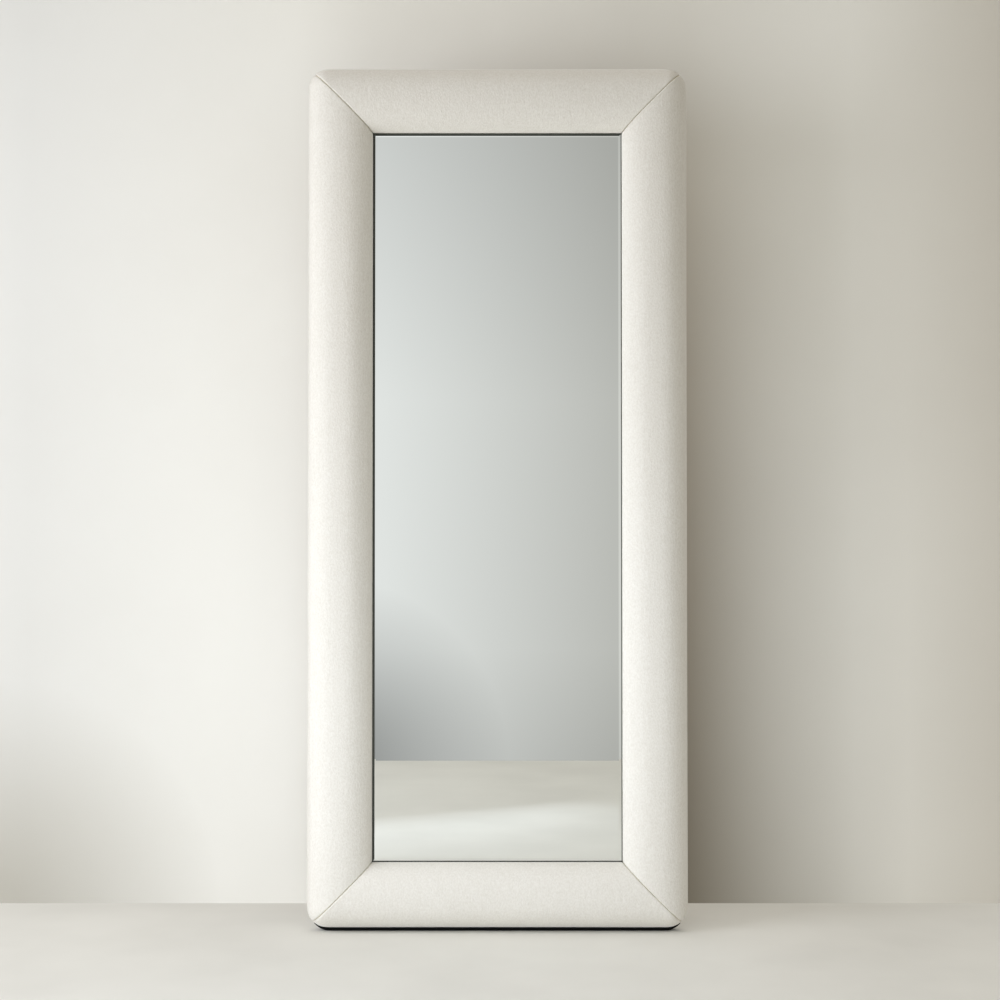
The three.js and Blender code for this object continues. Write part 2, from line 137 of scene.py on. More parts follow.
class MirrorPaddingSettings(bpy.types.PropertyGroup):
    corner_radius: length("Corner radius", "Radius of the border's outer corners", 44)
    shoulder_rise: length("Shoulder rise", "Rise where the side turns into the crown", 12)
    roundness: FloatProperty(
        name="Roundness", description="2 is an elliptical crown, more is squarer", default=2.3, min=2
    )
    cloth: length("Cloth thickness", "Cover with its thin wadding", 2)
    rear_return: length("Rear return", "Inset of the cloth's raw edge on the back", 38)
    bed_inset: length("Bed inset", "Inset of the cloth's raw edge under the glass lip", 126)
    rear_round: length("Rear round", "Radius where the cloth turns on to the back", 5)
    sight_round: length("Sight round", "Radius where the cloth turns in at the glass", 3)
    seam_width: length("Seam width", "How far from a mitre the cloth begins to dip", 3.6)
    seam_depth: length("Seam depth", "How deep the cloth is drawn in at a mitre", 4.4)
    mesh_step: length("Mesh step", "Spacing of the cloth's threads in the simulation", 12, 2 * MM)
    swell_limit: length("Swell limit", "How far the stuffing may push the cloth out", 1.2)
    pile: length("Pile spacing", "Size of a tuft of the pile", 3)
    # The cloth's two tones carry painted light: the pale one is also a painted highlight on the pile's
    # tips, the dark one a painted shade between the tufts.
    cloth_and_tip_highlight_colour: colour("Cloth, light", "Tips of the pile", "#F1EEE7")
    cloth_and_tuft_shade_colour: colour("Cloth, dark", "Between the tufts", "#DDD8CE")
    foam_colour: colour("Foam", "Fresh polyurethane foam", "#F0E2B4")


class MirrorBackSettings(bpy.types.PropertyGroup):
    strip_outer: length("Strip outer inset", "Outer edge of the black strips on the back", 14)
    strip_inner: length("Strip inner inset", "Inner edge of the black strips on the back", 76)
    strip_thickness: length("Strip thickness", "Spunbonded cloth", 0.5)
    # The glazing tape is real, but it is also a dark band standing in for shade: it shows wider on the
    # left and top, where the crevice between cloth and glass is shaded.
    tape_and_shade_left: length("Tape, left and top", "How much of the glazing tape shows there", 3.6)
    tape_right: length("Tape, right and bottom", "How much of the glazing tape shows there", 0.5)
    staple_spacing: length("Staple spacing", "Distance between staples along a strip", 65)
    board_colour: colour("Board", "Tempered fibreboard", "#8E6B4A")
    plywood_colour: colour("Plywood", "Birch veneer", "#DCC296")
    glass_tint: colour("Glass tint", "Silver behind green float glass", "#F0F2F0")


class MirrorStageSettings(bpy.types.PropertyGroup):
    eye_distance: FloatProperty(
        name="Eye distance", description="Camera to the mirror's middle", default=3.49, unit="LENGTH"
    )
    eye_tilt: FloatProperty(
        name="Eye tilt",
        description="Upward tilt of the view, which stands for the mirror's lean",
        default=math.radians(1.1),
        unit="ROTATION",
    )
    lens: FloatProperty(name="Lens", description="Focal length in millimetres", default=60.27, min=10)
    wall_distance: length("Wall distance", "Behind the mirror's rearmost plane", 235)
    card_distance: FloatProperty(
        name="Opposite wall", description="Its distance in front of the glass", default=2.57, unit="LENGTH"
    )
    key_power: FloatProperty(name="Window light", description="Watts", default=62, min=0)
    fill_strength: FloatProperty(name="Room light", description="From the sides", default=0.16, min=0)
    sky_strength: FloatProperty(name="Light from above", description="From overhead", default=0.8, min=0)
    # The wall by the window is painted darker: painted shade that tones down the window's light there.
    window_side_shaded_wall_colour: colour("Wall", "Plain plaster by the window", "#E1E0DB")
    far_wall_colour: colour("Wall, far end", "Plain plaster away from the window", "#FCFAF2")
    floor_colour: colour("Floor", "Plain pale floor", "#EDECE6")


# ---------------------------------------------------------------- materials


def add_node(tree, kind, settings=None, **links):
    """Adds a shader node. A link is an output socket, or a value for the input of that name or,
    after an underscore, of that number."""
    made = tree.nodes.new("ShaderNode" + kind)
    for name, value in (settings or {}).items():
        setattr(made, name, value)
    for name, value in links.items():
        wanted = int(name[1:]) if name[1:].isdigit() else name.replace("_", " ")
        socket = made.inputs[wanted]
        if isinstance(value, bpy.types.NodeSocket):
            tree.links.new(value, socket)
        else:
            socket.default_value = value
    return made


def new_material(name):
    """An empty material with its output, and its node tree and Object coordinates."""
    made = bpy.data.materials.new(name)
    made.use_nodes = True
    tree = made.node_tree
    tree.nodes.clear()
    add_node(tree, "OutputMaterial")
    place = add_node(tree, "TexCoord").outputs["Object"]
    return made, tree, place


def bumps(tree, height, strength, distance):
    """The surface's normal, bent by a height that is `distance` metres for 1."""
    made = add_node(tree, "Bump", Height=height, Strength=strength, Distance=distance)
    return made.outputs["Normal"]


def finish_material(made, shader):
    output = next(n for n in made.node_tree.nodes if n.type == "OUTPUT_MATERIAL")
    made.node_tree.links.new(shader.outputs[0], output.inputs["Surface"])
    return made


def principled(made, **inputs):
    """Finishes a material with a Principled shader that has these inputs."""
    return finish_material(made, add_node(made.node_tree, "BsdfPrincipled", **inputs))


def stretched(tree, place, sizes):
    """Coordinates in which one unit is `sizes` metres along X, Y and Z."""
    scale = tuple(1 / size for size in sizes)
    return add_node(tree, "Mapping", Vector=place, Scale=scale).outputs["Vector"]


def speckle(tree, place, sizes, detail=2.0, roughness=0.5):
    """Noise from 0 to 1 whose grains are `sizes` metres along X, Y and Z."""
    return add_node(
        tree,
        "TexNoise",
        Vector=stretched(tree, place, sizes),
        Scale=1.0,
        Detail=detail,
        Roughness=roughness,
    ).outputs["Fac"]


def levels(tree, value, low, high, to_low=0.0, to_high=1.0):
    made = add_node(tree, "MapRange", _0=value, _1=low, _2=high, _3=to_low, _4=to_high)
    return made.outputs["Result"]


def blend_colours(tree, share, first, second):
    made = add_node(tree, "Mix", {"data_type": "RGBA"}, _0=share, _6=first, _7=second)
    return made.outputs[2]


def arithmetic(tree, operation, first, second):
    made = add_node(tree, "Math", {"operation": operation}, _0=first, _1=second)
    return made.outputs["Value"]


def product(tree, first, second):
    return arithmetic(tree, "MULTIPLY", first, second)


def rgba(rgb):
    return (*rgb, 1.0)


def pile_cloth(settings):
    """Short-pile upholstery cloth, woven and brushed: a matt off-white with a soft mottle where
    the pile lies this way and that, painted darker between the tufts and lighter on their tips as
    painted shade and highlight of the pile, and a pale bloom where it is seen edge on."""
    made, tree, place = new_material("Brushed short-pile upholstery cloth")
    pile = settings.pile
    tufts = speckle(tree, place, (pile, pile, pile * 1.7), 3.0, 0.65)
    strokes = speckle(tree, place, (pile * 2, pile * 2, pile * 9), 2.0)
    drift = speckle(tree, place, (60 * MM, 60 * MM, 150 * MM), 1.0)
    # Painted shade and highlight: the mottle is darker where the tufts and strokes are low and lighter
    # where they are high, over a random drift of tone.
    mottle = product(tree, levels(tree, tufts, 0.3, 0.7), 0.62)
    mottle = arithmetic(tree, "ADD", mottle, product(tree, strokes, 0.3))
    mottle = arithmetic(tree, "ADD", mottle, product(tree, drift, 0.18))
    shade = blend_colours(tree, mottle, rgba(settings.cloth_and_tuft_shade_colour), rgba(settings.cloth_and_tip_highlight_colour))
    height = arithmetic(tree, "ADD", tufts, product(tree, strokes, 0.6))
    bump = bumps(tree, height, 0.7, 1.2 * MM)
    return principled(
        made,
        Base_Color=shade,
        Roughness=0.92,
        Normal=bump,
        Sheen_Weight=1.0,
        Sheen_Roughness=0.32,
        Specular_IOR_Level=0.2,
        Sheen_Tint=linear("#FFFDF8"),
    )


def soft_foam(settings):
    """Slab polyurethane foam, cut on a wire: pale yellow and matt, with open cells about 1 mm
    across, drawn at 2 mm, and painted shade darkening the cells' hollows."""
    made, tree, place = new_material("Cut polyurethane foam")
    cells = add_node(
        tree, "TexVoronoi", Vector=stretched(tree, place, (2 * MM,) * 3), Scale=1.0
    ).outputs["Distance"]
    fresh = rgba(settings.foam_colour)
    # Painted shade: the colour darkens towards the bottom of each cell, where the bump is lowest.
    deep = blend_colours(tree, levels(tree, cells, 0.0, 0.6), linear("#CBB67A"), fresh)
    bump = bumps(tree, cells, 0.6, 0.8 * MM)
    return principled(
        made,
        Base_Color=deep,
        Roughness=0.95,
        Normal=bump,
        Subsurface_Weight=0.1,
        Subsurface_Scale=2 * MM,
    )


def birch_plywood(settings, along):
    """Rotary-cut birch veneer, sanded: pale, with long faint grain along the piece, brown flecks
    and, on its edges, the dark lines of the glued layers."""
    made, tree, place = new_material("Sanded birch plywood, grain along " + along)
    long, short = 120 * MM, 2.2 * MM
    sizes = (long, short, short) if along == "X" else (short, short, long)
    grain = speckle(tree, place, sizes, 4.0, 0.6)
    wide = speckle(tree, place, tuple(s * 6 for s in sizes), 2.0)
    flecks = levels(tree, speckle(tree, place, tuple(s / 3 for s in sizes), 1.0), 0.66, 0.78)
    tone = arithmetic(tree, "ADD", product(tree, grain, 0.6), product(tree, wide, 0.4))
    pale = rgba(settings.plywood_colour)
    shade = blend_colours(tree, levels(tree, tone, 0.3, 0.7), linear("#C9A873"), pale)
    shade = blend_colours(tree, product(tree, flecks, 0.5), shade, linear("#9A7446"))
    depth = add_node(tree, "SeparateXYZ", Vector=place).outputs["Y"]
    board, layers = 22 * MM, 15
    wave = arithmetic(tree, "PINGPONG", depth, board / layers)
    normal = add_node(tree, "NewGeometry").outputs["Normal"]
    side = add_node(tree, "SeparateXYZ", Vector=normal)
    edge_on = levels(tree, arithmetic(tree, "ABSOLUTE", side.outputs["Y"], 0.0), 0.5, 0.3)
    glue = product(tree, levels(tree, wave, 0.0, 0.5 * MM, 0.6, 0.0), edge_on)
    shade = blend_colours(tree, glue, shade, linear("#7C5A33"))
    bump = bumps(tree, tone, 0.25, 0.3 * MM)
    return principled(made, Base_Color=shade, Roughness=0.62, Normal=bump)


def silvered_glass(settings):
    """Silver behind polished float glass: a true mirror with the faint green of the glass."""
    made, tree, place = new_material("Silvered float glass")
    haze = levels(tree, speckle(tree, place, (90 * MM,) * 3, 2.0), 0.45, 0.75, 0.0, 0.012)
    return principled(made, Base_Color=rgba(settings.glass_tint), Metallic=1.0, Roughness=haze)


def safety_film():
    """Glued polythene film over the mirror's grey backing paint, with fine crossed threads."""
    made, tree, place = new_material("Threaded safety film")
    spacing = 6 * MM
    parts = add_node(tree, "SeparateXYZ", Vector=place)
    across = arithmetic(tree, "PINGPONG", parts.outputs["X"], spacing / 2)
    up = arithmetic(tree, "PINGPONG", parts.outputs["Z"], spacing / 2)
    thread = levels(tree, arithmetic(tree, "MINIMUM", across, up), 0.0, 0.4 * MM, 1.0, 0.0)
    shade = blend_colours(tree, thread, linear("#8E9499"), linear("#C6CACC"))
    bump = bumps(tree, thread, 0.5, 0.2 * MM)
    return principled(made, Base_Color=shade, Roughness=0.3, Normal=bump)


def fibreboard(settings):
    """Pressed wood fibre, its smooth face outwards: brown, with fine pale fibres and darker
    specks, and the faint shine of tempering."""
    made, tree, place = new_material("Tempered fibreboard")
    fibres = speckle(tree, place, (3 * MM, 3 * MM, 5 * MM), 5.0, 0.7)
    clouds = speckle(tree, place, (140 * MM, 140 * MM, 200 * MM), 3.0)
    specks = levels(tree, speckle(tree, place, (1.6 * MM,) * 3, 1.0), 0.68, 0.76)
    brown = rgba(settings.board_colour)
    shade = blend_colours(tree, levels(tree, fibres, 0.3, 0.7), linear("#79593B"), brown)
    shade = blend_colours(tree, levels(tree, clouds, 0.35, 0.7, 0.0, 0.35), shade, linear("#A5825D"))
    shade = blend_colours(tree, product(tree, specks, 0.6), shade, linear("#4E3721"))
    bump = bumps(tree, fibres, 0.3, 0.25 * MM)
    return principled(
        made, Base_Color=shade, Roughness=levels(tree, clouds, 0.3, 0.7, 0.5, 0.66), Normal=bump
    )


def spunbonded_cloth():
    """Black spunbonded polypropylene: thin, matt and slightly fibrous, with the rows of small
    pressed points that bond it, about 1.5 mm apart and drawn at 3 mm."""
    made, tree, place = new_material("Spunbonded dust cloth")
    pitch = 3 * MM
    dots = add_node(
        tree,
        "TexVoronoi",
        Vector=stretched(tree, place, (pitch,) * 3),
        Scale=1.0,
        Randomness=0.15,
    ).outputs["Distance"]
    fuzz = speckle(tree, place, (1.5 * MM, 1.5 * MM, 6 * MM), 3.0)
    shade = blend_colours(tree, levels(tree, dots, 0.1, 0.4), linear("#101011"), linear("#232325"))
    shade = blend_colours(tree, levels(tree, fuzz, 0.5, 0.8, 0.0, 0.4), shade, linear("#38383A"))
    bump = bumps(tree, dots, 0.5, 0.3 * MM)
    return principled(made, Base_Color=shade, Roughness=0.85, Normal=bump, Sheen_Weight=0.2)


def glazing_tape():
    """Closed-cell foam tape with a dark felted face: a matt charcoal line with no shine."""
    made, tree, place = new_material("Dark glazing tape")
    cells = speckle(tree, place, (1 * MM,) * 3, 2.0)
    shade = blend_colours(tree, levels(tree, cells, 0.3, 0.7), linear("#42443E"), linear("#595B55"))
    bump = bumps(tree, cells, 0.3, 0.1 * MM)
    return principled(made, Base_Color=shade, Roughness=0.95, Normal=bump, Specular_IOR_Level=0.1)


def moulded_rubber():
    """Moulded black rubber: nearly black and matt, with a fine stipple and grey bloom."""
    made, tree, place = new_material("Moulded black rubber")
    stipple = speckle(tree, place, (1.2 * MM,) * 3, 2.0)
    bloom = speckle(tree, place, (40 * MM,) * 3, 3.0)
    shade = blend_colours(tree, levels(tree, bloom, 0.4, 0.75), linear("#030202"), linear("#0B0B0B"))
    bump = bumps(tree, stipple, 0.3, 0.2 * MM)
    return principled(
        made,
        Base_Color=shade,
        Roughness=levels(tree, bloom, 0.3, 0.8, 0.6, 0.8),
        Normal=bump,
        Specular_IOR_Level=0.15,
    )


def bright_zinc():
    """Pressed steel, bright zinc plated: blue-grey and fairly shiny, with a cloudy patchwork and
    fine scuffs."""
    made, tree, place = new_material("Bright zinc-plated steel")
    clouds = speckle(tree, place, (6 * MM,) * 3, 3.0)
    scuffs = speckle(tree, place, (0.6 * MM, 0.6 * MM, 8 * MM), 2.0)
    shade = blend_colours(tree, levels(tree, clouds, 0.35, 0.65), linear("#BABDC1"), linear("#CCCED0"))
    bump = bumps(tree, scuffs, 0.08, 0.1 * MM)
    return principled(
        made,
        Base_Color=shade,
        Metallic=1.0,
        Roughness=levels(tree, clouds, 0.3, 0.7, 0.33, 0.42),
        Normal=bump,
    )


def yellow_zinc():
    """Screw steel, yellow zinc plated: pale brass with green and rose clouds."""
    made, tree, place = new_material("Yellow zinc-plated steel")
    clouds = speckle(tree, place, (3 * MM,) * 3, 2.0)
    tints = speckle(tree, place, (9 * MM,) * 3, 2.0)
    shade = blend_colours(tree, levels(tree, clouds, 0.35, 0.65), linear("#B89B5B"), linear("#D6BE82"))
    shade = blend_colours(tree, levels(tree, tints, 0.5, 0.75, 0.0, 0.5), shade, linear("#B9B27A"))
    bump = bumps(tree, clouds, 0.15, 0.1 * MM)
    return principled(
        made,
        Base_Color=shade,
        Metallic=1.0,
        Roughness=levels(tree, tints, 0.3, 0.7, 0.25, 0.4),
        Normal=bump,
    )


MADE_MATERIALS = {}


def shared_material(key, maker, *arguments):
    """The material of that key, made once."""
    if key not in MADE_MATERIALS:
        MADE_MATERIALS[key] = maker(*arguments)
    return MADE_MATERIALS[key]


# ---------------------------------------------------------------- making pieces


def deselect_everything():
    if bpy.context.object and bpy.context.object.mode != "OBJECT":
        bpy.ops.object.mode_set(mode="OBJECT")
    bpy.ops.object.select_all(action="DESELECT")


def use_only(piece):
    deselect_everything()
    piece.select_set(True)
    bpy.context.view_layer.objects.active = piece


def edit_faces(piece, wanted):
    """Enters edit mode with only the faces selected for which `wanted` says yes."""
    use_only(piece)
    bpy.ops.object.mode_set(mode="EDIT")
    bpy.ops.mesh.select_mode(type="FACE")
    bpy.ops.mesh.select_all(action="DESELECT")
    mesh = bmesh.from_edit_mesh(piece.data)
    for face in mesh.faces:
        face.select_set(bool(wanted(face)))
    bmesh.update_edit_mesh(piece.data)


def edit_all(piece):
    """Enters edit mode with everything selected."""
    use_only(piece)
    bpy.ops.object.mode_set(mode="EDIT")
    bpy.ops.mesh.select_all(action="SELECT")


def leave_edit_mode():
    bpy.ops.object.mode_set(mode="OBJECT")


def apply_place():
    bpy.ops.object.transform_apply(location=True, rotation=True, scale=True)


def apply_modifier(piece, kind, **settings):
    use_only(piece)
    modifier = piece.modifiers.new(kind.title(), kind)
    for name, value in settings.items():
        setattr(modifier, name, value)
    bpy.ops.object.modifier_apply(modifier=modifier.name)


def tidy_mesh(piece, merge=0.02 * MM):
    """Merges doubles and makes all the faces point outwards."""
    edit_all(piece)
    bpy.ops.mesh.remove_doubles(threshold=merge)
    bpy.ops.mesh.normals_make_consistent(inside=False)
    leave_edit_mode()


def settle(piece, name, body, material, replaced=(), smooth=None):
    """Names a finished piece, puts its place in its mesh, dresses it and sets it on its body."""
    use_only(piece)
    apply_place()
    if smooth is not None:
        bpy.ops.object.shade_smooth_by_angle(angle=math.radians(smooth))
    piece.name = piece.data.name = name
    piece.data.materials.clear()
    piece.data.materials.append(material)
    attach(piece, body)
    if replaced:
        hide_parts(*replaced)
    return piece


def dress_cad_node(name, material):
    node = frame["nodes"][name]
    node.data.materials.clear()
    node.data.materials.append(material)


def copy_piece(source, matrix):
    """A copy with a mesh of its own, placed by `matrix`."""
    made = source.copy()
    made.data = source.data.copy()
    made.data.transform(matrix)
    bpy.context.scene.collection.objects.link(made)
    return made


def discard(piece):
    bpy.data.objects.remove(piece)


# ---------------------------------------------------------------- the border's shape


def arc(x, y, radius, start, stop, steps=8):
    """Points of an arc about (x, y), with its angles in degrees."""
    angles = np.radians(np.linspace(start, stop, steps + 1))
    return np.column_stack([x + radius * np.cos(angles), y + radius * np.sin(angles)])


def crown_line(settings, inwards, end, steps=96):
    """The rounded front from the outer side to the rise `end` on the sight side, taken in by
    `inwards`."""
    full = CROWN_RISE - settings.shoulder_rise
    power = settings.roundness
    sight = (sight_rise(settings) - settings.shoulder_rise) / full
    half_width = BORDER / (1 + (1 - sight**power) ** (1 / power))
    height = full - inwards
    last = math.pi - math.asin(((end - settings.shoulder_rise) / height) ** (power / 2))
    angles = np.linspace(0, last, steps + 1)
    across = np.sign(np.cos(angles)) * np.abs(np.cos(angles)) ** (2 / power)
    up = np.sin(angles) ** (2 / power)
    return np.column_stack(
        [half_width - (half_width - inwards) * across, settings.shoulder_rise + height * up]
    )


def sight_rise(settings):
    """Where the crown ends and the cloth turns in over the glass."""
    return GLASS_FRONT + GAP + settings.sight_round


def respaced(line, count):
    """`count` points evenly spaced along a line of points."""
    travelled = np.concatenate([[0], np.cumsum(np.linalg.norm(np.diff(line, axis=0), axis=1))])
    wanted = np.linspace(0, travelled[-1], count)
    return np.column_stack([np.interp(wanted, travelled, line[:, k]) for k in (0, 1)])


def line_normals(line):
    """Unit normals of an open line, to its left as it is walked."""
    along = np.gradient(line, axis=0)
    along /= np.linalg.norm(along, axis=1)[:, None]
    return np.column_stack([-along[:, 1], along[:, 0]])


def cover_line(settings, count):
    """The cloth's outer face, from its raw edge on the back to its raw edge under the lip."""
    bed = GLASS_FRONT + GAP
    rear, sight = settings.rear_round, settings.sight_round
    line = np.concatenate(
        [
            [[settings.rear_return, COVER_REAR]],
            arc(rear, COVER_REAR + rear, rear, 270, 180),
            crown_line(settings, 0, sight_rise(settings)),
            arc(BORDER - sight, bed + sight, sight, 0, -90),
            [[settings.bed_inset, bed]],
        ]
    )
    return respaced(line, count)


def half_length(side, inset, radius):
    """Distance along the border from the mitre to the middle of a side, at each inset."""
    run = SIDES[side][1]
    spare = np.maximum(radius - inset, 0)
    return np.where(spare > 0, spare * math.pi / 4 + run / 2 - radius, run / 2 - inset)


def on_border(side, inset, rise, from_mitre, half, radius):
    """Points of a side, as inset, rise, distance from the mitre and half (-1 or 1)."""
    turn, run, reach = SIDES[side]
    spare = radius - inset
    bend = np.maximum(spare, 0) * math.pi / 4
    angle = math.pi / 4 - from_mitre / np.maximum(spare, 1e-9)
    bending = from_mitre < bend
    straight = np.where(spare > 0, radius + from_mitre - bend, inset + from_mitre)
    along = np.where(bending, radius - spare * np.sin(angle), straight)
    across = np.where(bending, radius - spare * np.cos(angle), inset)
    x, z = half * (run / 2 - along), across - reach
    cosine, sine = math.cos(turn), math.sin(turn)
    return np.stack(
        [x * cosine + z * sine, REAR_Y - rise, z * cosine - x * sine + MIDDLE_Z], axis=-1
    )


def stations(side, step, fine):
    """Distances from the mitre to a side's middle: closely spaced first, then every `step`."""
    reach = SIDES[side][1] / 2 - BORDER
    places, gap = [0.0], fine
    while places[-1] + gap < reach - gap / 2:
        places.append(places[-1] + gap)
        gap = min(step, gap * 1.25)
    places[-1] = reach
    return np.array(places)


def border_grid(side, line, along, settings, dip=None):
    """Points of a border piece as [station, point of the line]. `dip` draws each point in along
    the line's normal near the mitres."""
    inset, rise = line[:, 0], line[:, 1]
    reach = along[-1]
    eased = np.clip(along / min(0.2, reach), 0, 1)
    eased = eased * eased * (3 - 2 * eased)
    lengths = half_length(side, inset, settings.corner_radius)
    from_mitre = along[:, None] + (lengths[None, :] - reach) * eased[:, None]
    inset, rise = np.broadcast_to(inset, from_mitre.shape), np.broadcast_to(rise, from_mitre.shape)
    if dip is not None:
        near = np.clip(1 - from_mitre / settings.seam_width, 0, 1)
        drawn = settings.seam_depth * (1 - np.sqrt(1 - near**2 * 0.98)) * dip[None, :]
        normals = line_normals(line)
        inset = inset - drawn * normals[None, :, 0]
        rise = rise - drawn * normals[None, :, 1]
    radius = settings.corner_radius
    first = on_border(side, inset, rise, from_mitre, -1, radius)
    second = on_border(side, inset, rise, from_mitre, 1, radius)
    return np.concatenate([first, second[-2::-1]])


def grid_piece(points):
    """A grid whose rows and columns are moved to `points`, [row, column]."""
    rows, columns = points.shape[:2]
    deselect_everything()
    bpy.ops.mesh.primitive_grid_add(x_subdivisions=columns - 1, y_subdivisions=rows - 1, size=1)
    made = bpy.context.object
    made.data.vertices.foreach_set("co", points.reshape(-1).astype(np.float32))
    made.data.update()
    return made


def turn_faces_over(piece):
    """Makes a grid's faces point the other way."""
    edit_all(piece)
    bpy.ops.mesh.flip_normals()
    leave_edit_mode()


# ---------------------------------------------------------------- cover and foam


def stuff(piece, held, limit):
    """Lets the stuffing push the cloth out by up to `limit` while its `held` vertices stay."""
    group = piece.vertex_groups.new(name="held")
    group.add([int(i) for i in held], 1.0, "REPLACE")
    start = np.empty(len(piece.data.vertices) * 3, np.float32)
    piece.data.vertices.foreach_get("co", start)
    use_only(piece)
    modifier = piece.modifiers.new("Stuffing", "CLOTH")
    cloth = modifier.settings
    cloth.quality = 4
    cloth.mass = 0.2
    cloth.vertex_group_mass = group.name
    cloth.tension_stiffness = cloth.compression_stiffness = 60
    cloth.shear_stiffness = 30
    cloth.bending_stiffness = 8
    cloth.use_pressure = True
    cloth.uniform_pressure_force = 6
    cloth.effector_weights.gravity = 0
    modifier.collision_settings.use_collision = False
    scene = bpy.context.scene
    modifier.point_cache.frame_end = 20
    for step in range(1, 21):
        scene.frame_set(step)
    bpy.ops.object.modifier_apply(modifier=modifier.name)
    scene.frame_set(1)
    ended = np.empty_like(start)
    piece.data.vertices.foreach_get("co", ended)
    moved = (ended - start).reshape(-1, 3)
    far = np.linalg.norm(moved, axis=1)
    moved *= np.where(far > 0, limit * np.tanh(far / limit) / np.maximum(far, 1e-9), 0)[:, None]
    piece.data.vertices.foreach_set("co", start + moved.reshape(-1))
    piece.data.update()
    piece.vertex_groups.clear()
    return far


class MIRROR_OT_covers(bpy.types.Operator):
    """Sew and stuff the four cloth covers of the border"""

    bl_idname = "mirror.covers"
    bl_label = "Cloth covers"

    def execute(self, context):
        settings = context.scene.mirror_padding
        material = shared_material("cloth", pile_cloth, settings)
        line = cover_line(settings, 41)
        rise = line[:, 1]
        turned_in = settings.shoulder_rise * 0.5
        front = np.clip((rise - COVER_REAR) / turned_in, 0, 1)
        for side in SIDES:
            along = stations(side, settings.mesh_step, 0.8 * MM)
            points = border_grid(side, line, along, settings, dip=front)
            piece = grid_piece(points)
            turn_faces_over(piece)
            rows, columns = points.shape[:2]
            grid = np.arange(rows * columns).reshape(rows, columns)
            flat_back = int(np.argmax(rise > COVER_REAR + settings.rear_round))
            flat_bed = int(np.where(rise > GLASS_FRONT + settings.sight_round * 1.5)[0][-1])
            sewn = 4
            still = (grid[:sewn], grid[-sewn:], grid[:, : flat_back + 1], grid[:, flat_bed:])
            held = np.unique(np.concatenate([part.ravel() for part in still]))
            far = stuff(piece, held, settings.swell_limit)
            print(f"{side} cover: cloth moved {far.max() / MM:.1f} mm at most")
            apply_modifier(piece, "SUBSURF", levels=1, render_levels=1)
            apply_modifier(piece, "SOLIDIFY", thickness=settings.cloth, offset=-1.0)
            replaced = [f"fabric_cover_{side}"]
            settle(piece, f"cloth_cover_{side}", BODY, material, replaced, 60)
        return {"FINISHED"}


class MIRROR_OT_foam_pads(bpy.types.Operator):
    """Cut the four foam pads that fill the border"""

    bl_idname = "mirror.foam_pads"
    bl_label = "Foam pads"

    def execute(self, context):
        settings = context.scene.mirror_padding
        material = shared_material("foam", soft_foam, settings)
        inwards = settings.cloth + 2 * GAP
        flap_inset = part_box("wood_stile_left")[0].x - COVER_LOW.x - GAP
        seat = WOOD_FRONT + GAP
        line = np.concatenate(
            [
                [[flap_inset, settings.shoulder_rise]],
                respaced(crown_line(settings, inwards, seat), 49),
                [[flap_inset, seat]],
            ]
        )
        closed = np.concatenate([line, line[:1]])
        for side in SIDES:
            along = stations(side, 12 * MM, 4 * MM)
            along[0] = GAP
            piece = grid_piece(border_grid(side, closed, along, settings))
            cap_ends(piece)
            settle(piece, f"foam_{side}", BODY, material, [f"foam_pad_{side}"], 40)
        return {"FINISHED"}


# ---------------------------------------------------------------- frame, glass and board


class MIRROR_OT_frame(bpy.types.Operator):
    """Give the plywood frame its veneer"""

    bl_idname = "mirror.frame"
    bl_label = "Plywood frame"

    def execute(self, context):
        settings = context.scene.mirror_back
        for side in SIDES:
            upright = side in HANDS
            name = f"wood_stile_{side}" if upright else f"wood_rail_{side}"
            along = "Z" if upright else "X"
            dress_cad_node(name, shared_material("plywood " + along, birch_plywood, settings, along))
        return {"FINISHED"}


class MIRROR_OT_glass(bpy.types.Operator):
    """Finish the mirror, the film behind it and the backing board"""

    bl_idname = "mirror.glass"
    bl_label = "Glass and board"

    def execute(self, context):
        settings = context.scene.mirror_back
        dress_cad_node("mirror_glass", shared_material("mirror", silvered_glass, settings))
        dress_cad_node("safety_film", shared_material("film", safety_film))
        dress_cad_node("backing_board", shared_material("board", fibreboard, settings))
        return {"FINISHED"}


class MIRROR_OT_glazing_tape(bpy.types.Operator):
    """Lay the dark tape that seals the glass to the cloth, shown wider on the left and top as painted
    shade of the crevice there
    """

    bl_idname = "mirror.glazing_tape"
    bl_label = "Glazing tape"

    def execute(self, context):
        settings, padding = context.scene.mirror_back, context.scene.mirror_padding
        tape = shared_material("tape", glazing_tape)
        face = GLASS_FRONT + 0.05 * MM
        for side in SIDES:
            # Partly real tape, partly painted shade: the wider band on the left and top stands in for the
            # shaded crevice between cloth and glass.
            shown = BORDER + (settings.tape_and_shade_left if side in ("left", "top") else settings.tape_right)
            section = np.array(
                [
                    [BORDER - 1.8 * MM, face],
                    [shown, face],
                    [shown, face + 0.5 * MM],
                    [shown - 0.3 * MM, face + 0.8 * MM],
                    [BORDER - 0.8 * MM, face + 0.8 * MM],
                    [BORDER - 1.5 * MM, face + 0.5 * MM],
                    [BORDER - 1.8 * MM, face],
                ]
            )
            along = np.array([0.0, SIDES[side][1] / 2 - BORDER])
            piece = grid_piece(border_grid(side, section, along, padding))
            cap_ends(piece)
            settle(piece, f"glazing_tape_{side}", BODY, tape, smooth=30)
        return {"FINISHED"}


def cap_ends(piece):
    """Merges a tube's seam and closes its two open ends."""
    edit_all(piece)
    bpy.ops.mesh.remove_doubles(threshold=0.01 * MM)
    bpy.ops.mesh.select_all(action="DESELECT")
    bpy.ops.mesh.select_mode(type="EDGE")
    bpy.ops.mesh.select_non_manifold()
    bpy.ops.mesh.edge_face_add()
    leave_edit_mode()
    tidy_mesh(piece)


# ---------------------------------------------------------------- rubber and hardware


